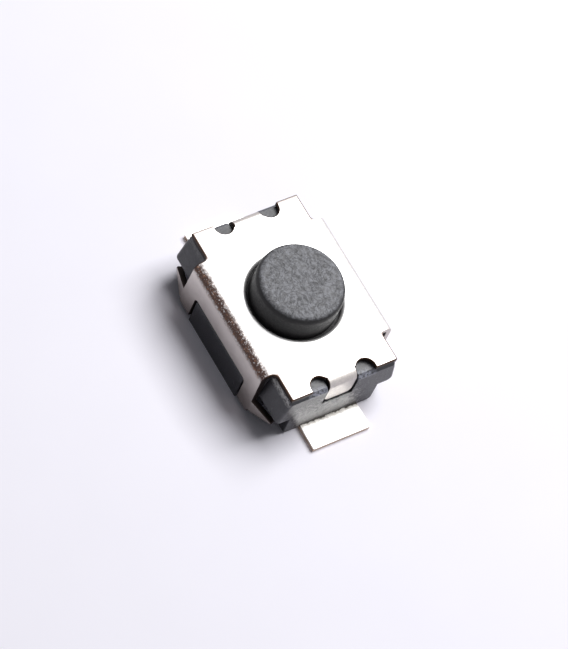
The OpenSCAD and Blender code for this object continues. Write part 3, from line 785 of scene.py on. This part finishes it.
class SWITCH_OT_cover(bpy.types.Operator):
    """Stamp, pierce and fold the plated cover"""

    bl_idname = "switch.cover"
    bl_label = "Cover"

    def execute(self, context):
        s = context.scene.switch_cover
        self.plated = shared_material(context, "bright_plated_steel", plated_sheet)
        self.sheared = shared_material(context, "sheared_strip_edge", sheared_edge)
        self.half_l = s.length / 2
        self.half_w = s.width / 2
        self.full = self.half_l - s.notch_length
        self.fold_out = s.sheet + s.fold
        cover = self.folded_channel(s)
        self.stamp_outline(s, cover)
        self.pierce_hole(s, cover)
        self.round_legs(s, cover)
        for end in SIDES:
            self.fold_flap(s, cover, end)
            for side in SIDES:
                self.crimp_hook(s, cover, end, side)
        self.bare_ends(s, cover)
        soften_edges(cover, s.edge, cover.data.materials.find(self.sheared.name))
        finish_piece(cover, "base", ["cover"])
        return {"FINISHED"}

    def folded_channel(self, s):
        """Sheet folded down along both long sides."""
        inner_w = self.half_w - s.sheet
        outer = add_block("folded_cover", (-self.half_l, -self.half_w, s.leg_low),
                          (self.half_l, self.half_w, s.top), self.plated)
        round_edges(outer, lambda m, d: near(m.z, s.top) and near(abs(m.y), self.half_w), self.fold_out, 12)
        inner = add_block("inside", (-self.half_l - CLEAR, -inner_w, s.leg_low - CLEAR),
                          (self.half_l + CLEAR, inner_w, s.top - s.sheet), self.plated)
        round_edges(inner, lambda m, d: near(m.z, s.top - s.sheet) and near(abs(m.y), inner_w), s.fold, 8)
        combine(outer, inner)
        return outer

    def stamp_outline(self, s, cover):
        """Corner notches, side windows, reliefs and the strips where the flaps fold."""
        ear = s.ear_width / 2
        window = self.full - s.leg_width
        slot_y = s.flap_width / 2 + s.relief
        round_x = self.half_l - s.relief_depth + s.relief
        bottom, over = s.leg_low - CLEAR, s.top + CLEAR
        for end in SIDES:
            for side in SIDES:
                notch = add_block("notch", (end * self.full, side * ear, bottom),
                                  (end * (self.half_l + CLEAR), side * (self.half_w + CLEAR), over), self.sheared)
                round_edges(notch, lambda m, d: near(abs(m.x), self.full) and near(abs(m.y), ear), s.notch_round)
                combine(cover, notch)
                relief = add_block("relief", (end * round_x, side * (slot_y - s.relief), bottom),
                                   (end * (self.half_l + CLEAR), side * (slot_y + s.relief), over), self.sheared)
                combine(cover, relief)
                relief_end = add_turned("relief_end", [(s.relief, bottom), (s.relief, over)], self.sheared, 64)
                relief_end.location = (end * round_x, side * slot_y, 0)
                combine(cover, relief_end)
            strip_y = s.flap_width / 2 + s.relief / 5
            strip = add_block("flap_strip", (end * (self.half_l - self.fold_out), strip_y, bottom),
                              (end * (self.half_l + CLEAR), -strip_y, over), self.sheared)
            combine(cover, strip)
        opening = add_block("window", (-window, -self.half_w - CLEAR, bottom),
                            (window, self.half_w + CLEAR, s.window_top), self.sheared)
        round_edges(opening, lambda m, d: near(m.z, s.window_top) and near(abs(m.x), window), s.window_round)
        combine(cover, opening)

    def pierce_hole(self, s, cover):
        """Button hole, rolled over at its upper rim."""
        outside = s.hole + s.hole_round
        roll = arc(outside, s.top - s.hole_round, s.hole_round, 180, 90, 10)
        punch = [(s.hole, s.top - s.sheet - CLEAR)] + roll + [(outside, s.top + CLEAR)]
        combine(cover, add_turned("punch", punch, self.plated))

    def round_legs(self, s, cover):
        """Round the legs' lower corners, to just below the hooks."""
        round_edges(cover, lambda m, d: near(abs(m.x), self.full) and near(m.z, s.leg_low),
                    (s.hook_low - s.leg_low) * 0.7, 6)

    def fold_flap(self, s, cover, end):
        """Fold the flap down from the edge left between its reliefs."""
        fold_x = end * (self.half_l - self.fold_out)
        fold_z = s.top - self.fold_out
        select(cover, "FACE", lambda m, d: near(m.x, fold_x) and abs(d.x) > 0.99 and abs(m.y) < s.flap_width / 2)
        for side in SIDES:
            bpy.ops.mesh.bisect(plane_co=(0, side * s.flap_width / 2, 0), plane_no=(0, 1, 0))
            select(cover, "FACE", lambda m, d: near(m.x, fold_x) and abs(d.x) > 0.99 and abs(m.y) < 0.2)
        bpy.ops.mesh.spin(steps=12, angle=-end * math.pi / 2, center=(fold_x, 0, fold_z), axis=(0, 1, 0))
        bpy.ops.mesh.extrude_region_move(TRANSFORM_OT_translate={"value": (0, 0, s.flap_low - fold_z)})
        bpy.ops.object.mode_set(mode="OBJECT")
        round_edges(cover, lambda m, d: (
            near(m.z, s.flap_low) and near(abs(m.y), s.flap_width / 2) and m.x * end > 0 and abs(d.x) > 0.9),
            s.flap_round)

    def crimp_hook(self, s, cover, end, side):
        """Run a hook on from a leg, turn it in under the corner block and taper it."""
        turn = end * side * s.hook_angle
        fold_y = side * (self.half_w - self.fold_out)
        leg_y = side * (self.half_w - s.sheet / 2)
        middle = (s.hook_low + s.hook_high) / 2
        tip_middle = s.hook_high - s.hook_drop - s.hook_tip / 2
        along = Vector((end * math.cos(s.hook_angle), -side * math.sin(s.hook_angle), 0))

        def on_leg_end(m, d):
            return near(m.x, end * self.full) and abs(d.x) > 0.99 and m.y * side > self.half_w - self.fold_out

        for height in (s.hook_high, s.hook_low):
            select(cover, "FACE", on_leg_end)
            bpy.ops.mesh.bisect(plane_co=(0, 0, height), plane_no=(0, 0, 1))
        select(cover, "FACE", lambda m, d: on_leg_end(m, d) and near(m.y, leg_y) and near(m.z, middle))
        bpy.ops.mesh.spin(steps=5, angle=turn, center=(end * self.full, fold_y, 0), axis=(0, 0, 1))
        bpy.ops.mesh.extrude_region_move(TRANSFORM_OT_translate={"value": along * s.hook_length})
        bpy.ops.transform.resize(value=(1, 1, s.hook_tip / (s.hook_high - s.hook_low)),
                                 center_override=(0, 0, middle))
        bpy.ops.transform.translate(value=(0, 0, tip_middle - middle))
        bpy.ops.object.mode_set(mode="OBJECT")

    def bare_ends(self, s, cover):
        """Bare steel on the sheared ends of ears, legs and flaps, which no cutter left."""
        select(cover, "FACE", lambda m, d: (
            (near(abs(m.x), self.half_l) and abs(d.x) > 0.99 and abs(m.y) > s.flap_width)
            or (abs(d.z) > 0.99 and (near(m.z, s.leg_low) or near(m.z, s.flap_low)))))
        cover.active_material_index = cover.data.materials.find(self.sheared.name)
        bpy.ops.object.material_slot_assign()
        bpy.ops.object.mode_set(mode="OBJECT")


class SWITCH_OT_terminals(bpy.types.Operator):
    """Fold the two terminals from tinned strip"""

    bl_idname = "switch.terminals"
    bl_label = "Terminals"

    def execute(self, context):
        s = context.scene.switch_terminals
        for node, end in (("terminal_front", 1), ("terminal_rear", -1)):
            terminal = build_terminal(context, s, end)
            soften_edges(terminal, s.edge)
            terminal.name = node.replace("terminal", "tinned_terminal")
            finish_piece(terminal, "base", [node])
        return {"FINISHED"}


def build_terminal(context, s, end):
    """Solder tab, fold up, riser, fold in and inner strip with its contacts, in millimetres."""
    tinned = shared_material(context, "tinned_bronze", tinned_strip)
    terminal = add_block("terminal", (end * s.tab_start, -s.width / 2, 0), (end * s.end, s.width / 2, s.thickness), tinned)

    def at_inner_end(m, d):
        return near(m.x, end * s.tab_start) and abs(d.x) > 0.99

    for side in SIDES:
        select(terminal, "FACE", lambda m, d: True)
        bpy.ops.mesh.bisect(plane_co=(0, side * s.neck / 2, 0), plane_no=(0, 1, 0))
    select(terminal, "FACE", lambda m, d: at_inner_end(m, d) and near(m.y, 0))
    low_fold = (end * (s.riser + s.fold), 0, s.thickness + s.fold)
    high_fold = (end * (s.riser - s.thickness - s.fold), 0, s.strip - s.fold)
    strip_end = s.pad / 10 if end > 0 else -s.contact_circle
    bpy.ops.mesh.extrude_region_move(TRANSFORM_OT_translate={"value": (low_fold[0] - end * s.tab_start, 0, 0)})
    bpy.ops.mesh.spin(steps=6, angle=-end * math.pi / 2, center=low_fold, axis=(0, 1, 0))
    bpy.ops.mesh.extrude_region_move(TRANSFORM_OT_translate={"value": (0, 0, high_fold[2] - low_fold[2])})
    bpy.ops.mesh.spin(steps=6, angle=end * math.pi / 2, center=high_fold, axis=(0, 1, 0))
    bpy.ops.mesh.extrude_region_move(TRANSFORM_OT_translate={"value": (strip_end - high_fold[0], 0, 0)})
    bpy.ops.mesh.select_all(action="SELECT")
    bpy.ops.mesh.normals_make_consistent(inside=False)
    bpy.ops.object.mode_set(mode="OBJECT")
    strip_top = s.strip + s.thickness
    dome_round = 0.02
    if end > 0:
        combine(terminal, add_turned("pad", [(s.pad, s.strip), (s.pad, strip_top)], tinned, 64), "UNION")
        stud = [(s.pad / 2, s.strip + LAP), (s.pad / 2, s.contact_top - dome_round), (s.pad / 3, s.contact_top)]
        combine(terminal, add_turned("stud", stud, tinned, 48), "UNION")
        return terminal
    ring = add_turned("ring", [(s.ring_outside, s.strip), (s.ring_outside, strip_top)], tinned, 96)
    combine(ring, add_turned("bore", [(s.ring_inside, s.strip - CLEAR), (s.ring_inside, strip_top + CLEAR)], tinned, 96))
    combine(ring, add_block("gap", (0, -s.opening / 2, s.strip - CLEAR), (s.end, s.opening / 2, strip_top + CLEAR), tinned))
    combine(terminal, ring, "UNION")
    for degrees in (50, 130, 230, 310):
        stud = [(s.contact, s.strip + LAP), (s.contact, s.contact_top - dome_round), (s.contact / 2, s.contact_top)]
        contact = add_turned("contact", stud, tinned, 32)
        place = Vector((s.contact_circle, 0, 0))
        place.rotate(Matrix.Rotation(math.radians(degrees), 3, "Z"))
        contact.location = place
        combine(terminal, contact, "UNION")
    return terminal


class SWITCH_OT_housing(bpy.types.Operator):
    """Mould the housing round the terminals"""

    bl_idname = "switch.housing"
    bl_label = "Housing"

    def execute(self, context):
        s = context.scene.switch_housing
        self.plastic = shared_material(context, "black_moulded_nylon", moulded_plastic)
        self.half_l = s.length / 2
        housing = self.corner_blocks(s)
        combine(housing, self.foot(s), "UNION")
        combine(housing, self.middle(s), "UNION")
        combine(housing, self.window_pads(context, s), "UNION")
        self.hollow_out(context, s, housing)
        finish_piece(housing, "base", ["housing"])
        return {"FINISHED"}

    def corner_blocks(self, s):
        """Upper part of the ends: rounded below, drafted sides, and a chamfer along the top."""
        half_w = s.block_width / 2
        drafted = half_w - s.block_draft
        levels = rounded_foot(s.shoulder, self.half_l, half_w, s.edge, s.shoulder_round)
        levels += [
            (s.top - s.chamfer_height, self.half_l, drafted),
            (s.top - s.chamfer, self.half_l, drafted - s.chamfer + s.chamfer * s.chamfer / s.chamfer_height),
            (s.top, self.half_l - s.chamfer, drafted - s.chamfer),
        ]
        return add_stacked("moulded_housing", levels, s.block_round, self.plastic)

    def foot(self, s):
        """Narrower foot under the corner blocks."""
        levels = rounded_foot(0, self.half_l, s.foot_width / 2, s.edge, s.foot_round)
        levels += [(s.shoulder + s.shoulder_round + LAP, self.half_l, s.foot_width / 2)]
        return add_stacked("foot", levels, s.edge, self.plastic)

    def middle(self, s):
        """Wide middle between the side walls."""
        half_l, half_w = s.middle_length / 2, s.middle_width / 2
        levels = [(0, half_l, half_w), (s.top - s.chamfer, half_l, half_w), (s.top, half_l, half_w - s.chamfer)]
        return add_stacked("middle", levels, s.edge, self.plastic)

    def window_pads(self, context, s):
        """Pads that fill the windows of the cover's side walls."""
        cover = context.scene.switch_cover
        half_l = cover.length / 2 - cover.notch_length - cover.leg_width - s.pad_gap
        half_w = s.pad_width / 2
        top = cover.window_top - s.pad_gap
        levels = [(0, half_l, half_w), (top - s.edge, half_l, half_w), (top, half_l - s.edge, half_w - s.edge)]
        return add_stacked("pads", levels, s.edge, self.plastic)

    def hollow_out(self, context, s, housing):
        """Dome pocket, button cavity, flap recesses and the terminals' seats."""
        cover = context.scene.switch_cover
        pocket = add_turned("pocket", [(s.pocket, s.floor), (s.pocket, s.ledge + LAP)], self.plastic)
        combine(housing, pocket)
        combine(housing, add_turned("cavity", [(s.cavity, s.ledge), (s.cavity, s.top + CLEAR)], self.plastic))
        recess_x = cover.length / 2 - cover.sheet - cover.fold
        recess_y = cover.flap_width / 2 + s.flap_gap
        for end in SIDES:
            recess = add_block("recess", (end * recess_x, -recess_y, cover.flap_low - s.flap_gap),
                               (end * (self.half_l + CLEAR), recess_y, s.top + CLEAR), self.plastic)
            combine(housing, recess)
            combine(housing, build_terminal(context, context.scene.switch_terminals, end))


class SWITCH_OT_button(bpy.types.Operator):
    """Turn the button with its collar and nub"""

    bl_idname = "switch.button"
    bl_label = "Button"

    def execute(self, context):
        s = context.scene.switch_button
        plastic = shared_material(context, "matt_moulded_button", button_plastic)
        e = s.small_edge
        outline = arc(s.nub - e, s.low + e, e, -90, 0, 4)
        outline += [(s.nub, s.collar_low - e)]
        outline += arc(s.collar - e, s.collar_low + e, e, -90, 0, 4)
        outline += arc(s.collar - e, s.collar_high - e, e, 0, 90, 4)
        outline += [(s.radius, s.collar_high)]
        outline += arc(s.radius - s.edge, s.top - s.edge, s.edge, 0, 90, 10)
        button = add_turned("moulded_button", outline, plastic, 160)
        finish_piece(button, "button", ["button"])
        return {"FINISHED"}


class SWITCH_OT_dome(bpy.types.Operator):
    """Press the snap dome from spring strip and lay the film on it"""

    bl_idname = "switch.dome"
    bl_label = "Dome and film"

    def execute(self, context):
        s = context.scene.switch_terminals
        self.dome(context, s)
        self.film(context, s)
        return {"FINISHED"}

    def dome(self, context, s):
        """Cap cut from a sphere, with the thickness of its strip."""
        rim, rise = DOME_HIGH.x, DOME_HIGH.z - DOME_LOW.z
        ball = (rim * rim + rise * rise) / (2 * rise)
        clear_selection()
        bpy.ops.mesh.primitive_uv_sphere_add(
            segments=96, ring_count=96, radius=ball, location=(0, 0, DOME_HIGH.z - ball))
        bpy.ops.object.transform_apply(location=True)
        dome = bpy.context.object
        dome.name = "pressed_snap_dome"
        dome.data.materials.append(shared_material(context, "stainless_spring_steel", spring_steel))
        bpy.ops.object.mode_set(mode="EDIT")
        bpy.ops.mesh.select_all(action="SELECT")
        bpy.ops.mesh.bisect(plane_co=(0, 0, DOME_LOW.z - s.dome_sheet), plane_no=(0, 0, 1), clear_inner=True)
        bpy.ops.object.mode_set(mode="OBJECT")
        wall = dome.modifiers.new("strip", "SOLIDIFY")
        wall.thickness = s.dome_sheet
        wall.offset = -1
        bpy.ops.object.modifier_apply(modifier=wall.name)
        below = add_block("below", (-ball, -ball, DOME_LOW.z - CLEAR), (ball, ball, DOME_LOW.z), dome.data.materials[0])
        combine(dome, below)
        self.squash(dome, s, "dome_steel", "snap_dome")

    def film(self, context, s):
        """Round film with softened edges."""
        half = (FILM_HIGH.z - FILM_LOW.z) / 2
        rim = FILM_HIGH.x - half
        outline = arc(rim, FILM_LOW.z + half, half, -90, 90, 6)
        film = add_turned("round_insulating_film", outline,
                          shared_material(context, "amber_polyimide_film", polyimide_film))
        self.squash(film, s, "film", "insulating_film")

    def squash(self, obj, s, slot, node):
        """Finish a piece, the dome or the film under the button, and give it a mesh of its own."""
        finish_piece(obj, "base", [node])
        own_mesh(obj)


class SWITCH_OT_stage(bpy.types.Operator):
    """Set the floor, the soft box, the white surroundings and the camera"""

    bl_idname = "switch.stage"
    bl_label = "Stage"

    def execute(self, context):
        s = context.scene.switch_stage
        scene = context.scene
        self.floor(context)
        self.lamp(scene, s)
        self.surroundings(scene, s)
        self.camera(scene, s)
        scene.view_settings.view_transform = "Standard"
        return {"FINISHED"}

    def floor(self, context):
        """Wide pale floor under the switch."""
        clear_selection()
        bpy.ops.mesh.primitive_plane_add(size=0.5)
        floor = bpy.context.object
        floor.name = "floor"
        floor.data.materials.append(shared_material(context, "white_backdrop_paper", floor_paper))

    def lamp(self, scene, s):
        """One large soft box, high and to the right of the picture."""
        data = bpy.data.lights.new("soft_box", "AREA")
        data.size = s.lamp_size * MM
        data.energy = s.lamp_power
        lamp = bpy.data.objects.new("soft_box", data)
        scene.collection.objects.link(lamp)
        towards = Vector((-0.1, 0.55, 1.0)).normalized()
        lamp.location = towards * s.lamp_distance * MM
        lamp.rotation_euler = towards.to_track_quat("Z", "Y").to_euler()

    def surroundings(self, scene, s):
        """White all round where the camera or a reflection looks, and softer as a light."""
        world = bpy.data.worlds.new("white_room")
        scene.world = world
        world.use_nodes = True
        tree = world.node_tree
        path = add_node(tree, "LightPath")
        seen = add_node(tree, "Math", {
            0: path.outputs["Is Camera Ray"], 1: path.outputs["Is Glossy Ray"]}, operation="MAXIMUM")
        bright = add_node(tree, "Math", {
            0: seen.outputs[0], 1: path.outputs["Is Transmission Ray"]}, operation="MAXIMUM")
        strength = add_node(tree, "MapRange", {
            "Value": bright.outputs[0], "To Min": s.ambient, "To Max": 1.0})
        background = tree.nodes["Background"]
        background.inputs["Color"].default_value = (0.95, 0.95, 1.0, 1)
        tree.links.new(strength.outputs[0], background.inputs["Strength"])

    def camera(self, scene, s):
        """Camera at the photograph's viewing angle."""
        data = bpy.data.cameras.new("camera")
        data.lens = s.lens
        data.clip_start = 0.001
        data.clip_end = 10
        camera = bpy.data.objects.new("camera", data)
        scene.collection.objects.link(camera)
        turn = Matrix.Rotation(s.azimuth, 4, "Z")
        turn @= Matrix.Rotation(math.pi / 2 - s.elevation, 4, "X")
        turn @= Matrix.Rotation(s.roll, 4, "Z")
        camera.matrix_world = turn @ Matrix.Translation(Vector((s.slide_right, s.slide_up, s.distance)) * MM)
        scene.camera = camera


OPERATORS = (
    SWITCH_OT_stage,
    SWITCH_OT_terminals,
    SWITCH_OT_housing,
    SWITCH_OT_dome,
    SWITCH_OT_button,
    SWITCH_OT_cover,
)


class SWITCH_PT_panel(bpy.types.Panel):
    """Sidebar panel that lists the switch's pieces and sizes"""

    bl_idname = "SWITCH_PT_panel"
    bl_label = "Tactile Switch"
    bl_space_type = "VIEW_3D"
    bl_region_type = "UI"
    bl_category = "Switch"

    def draw(self, context):
        column = self.layout.column()
        for operator in OPERATORS:
            column.operator(operator.bl_idname)
        for name in GROUPS:
            settings = getattr(context.scene, name)
            column.label(text=settings.bl_rna.description)
            for field in settings.bl_rna.properties.keys():
                if field not in ("rna_type", "name"):
                    column.prop(settings, field)


GROUPS = {
    "switch_cover": CoverSizes,
    "switch_housing": HousingSizes,
    "switch_button": ButtonSizes,
    "switch_terminals": TerminalSizes,
    "switch_colours": SwitchColours,
    "switch_stage": StageSettings,
}


def register():
    """Register the classes and put the settings on the scene."""
    for name, group in GROUPS.items():
        bpy.utils.register_class(group)
        setattr(bpy.types.Scene, name, bpy.props.PointerProperty(type=group))
    for operator in OPERATORS:
        bpy.utils.register_class(operator)
    bpy.utils.register_class(SWITCH_PT_panel)


def unregister():
    """Take everything back out."""
    bpy.utils.unregister_class(SWITCH_PT_panel)
    for operator in reversed(OPERATORS):
        bpy.utils.unregister_class(operator)
    for name, group in GROUPS.items():
        delattr(bpy.types.Scene, name)
        bpy.utils.unregister_class(group)


def main():
    """Build every piece and the stage."""
    register()
    for operator in OPERATORS:
        group, call = operator.bl_idname.split(".")
        getattr(getattr(bpy.ops, group), call)()


if __name__ == "__main__":
    main()
